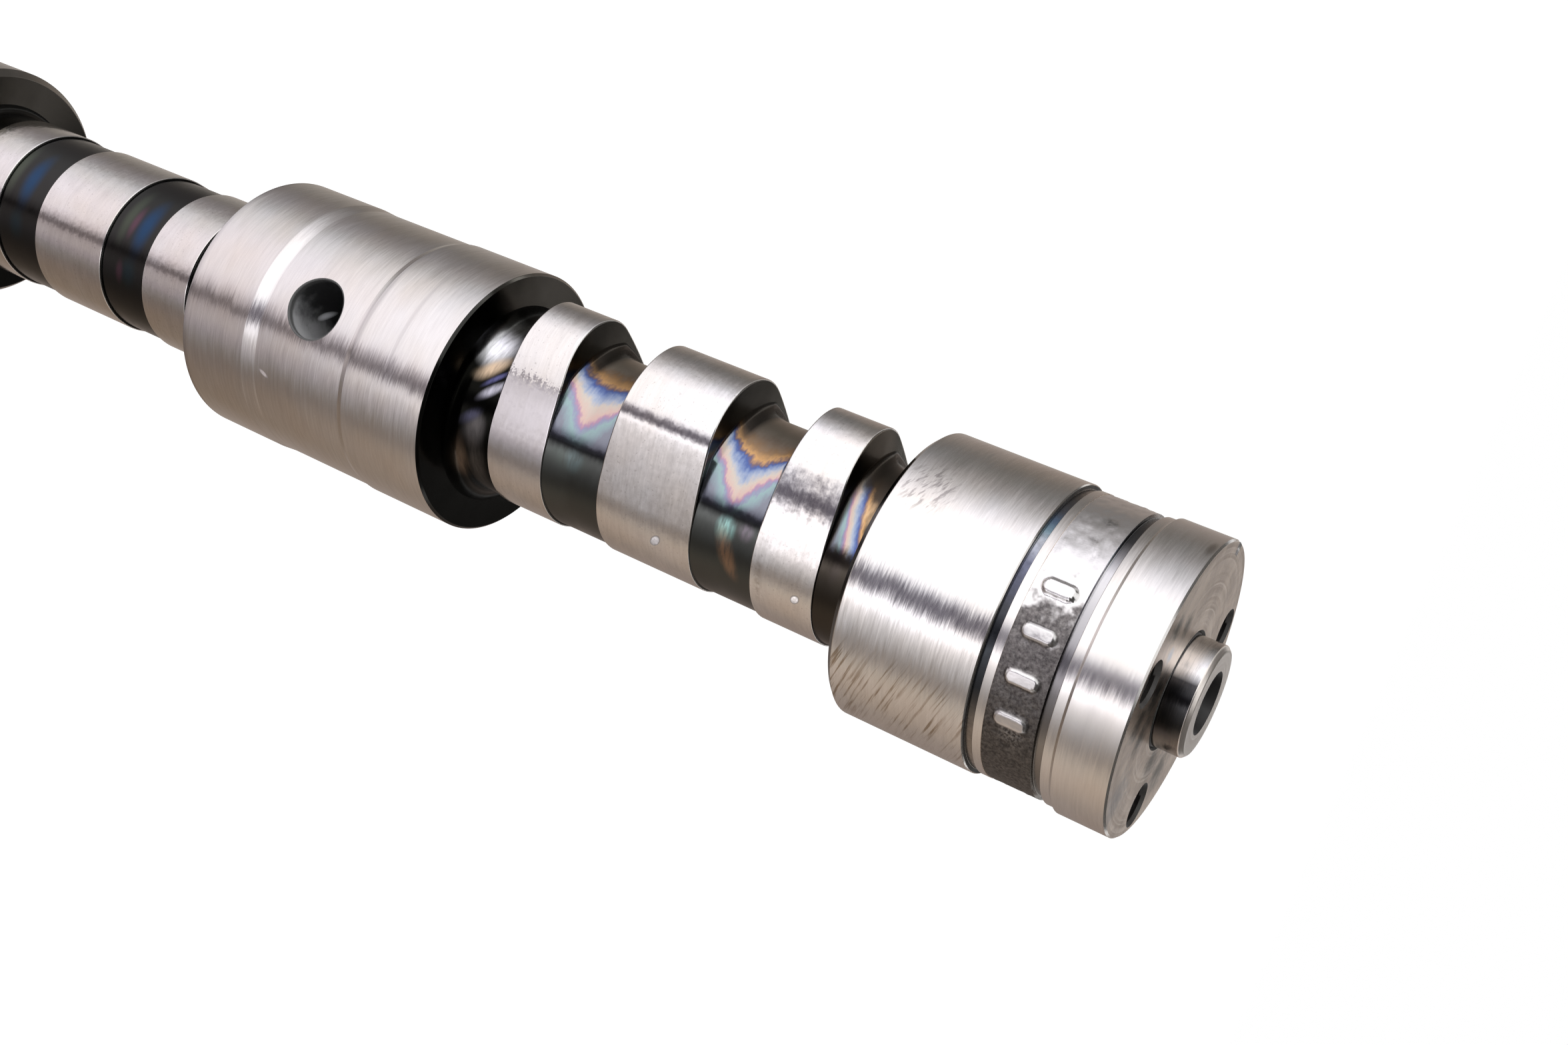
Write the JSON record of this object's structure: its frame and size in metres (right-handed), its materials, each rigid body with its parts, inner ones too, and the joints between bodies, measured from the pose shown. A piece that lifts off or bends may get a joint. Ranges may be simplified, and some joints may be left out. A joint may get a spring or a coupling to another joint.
{
  "type": "camshaft",
  "caption": "One-piece camshaft with round journals larger than its lobes, narrow and wide cam lobes between them, and a flat nose with a pilot and tapped holes for a sprocket.",
  "frame": {"origin": "centre of the rear end face, on the axis of the shaft", "axes": "+Z along the shaft from the rear end to the nose, -Y towards the side of the oil hole, whose axis lies 4.5 degrees from -Y towards -X"},
  "size_m": [0.04, 0.04, 0.2459],
  "materials": {
    "ground_iron": "ground and satin on journals and lobes, heat-tinted blue-black between them, rough as cast on the band at the nose"
  },
  "bodies": {
    "root": {"camshaft": "ground_iron"}
  },
  "joints": []
}
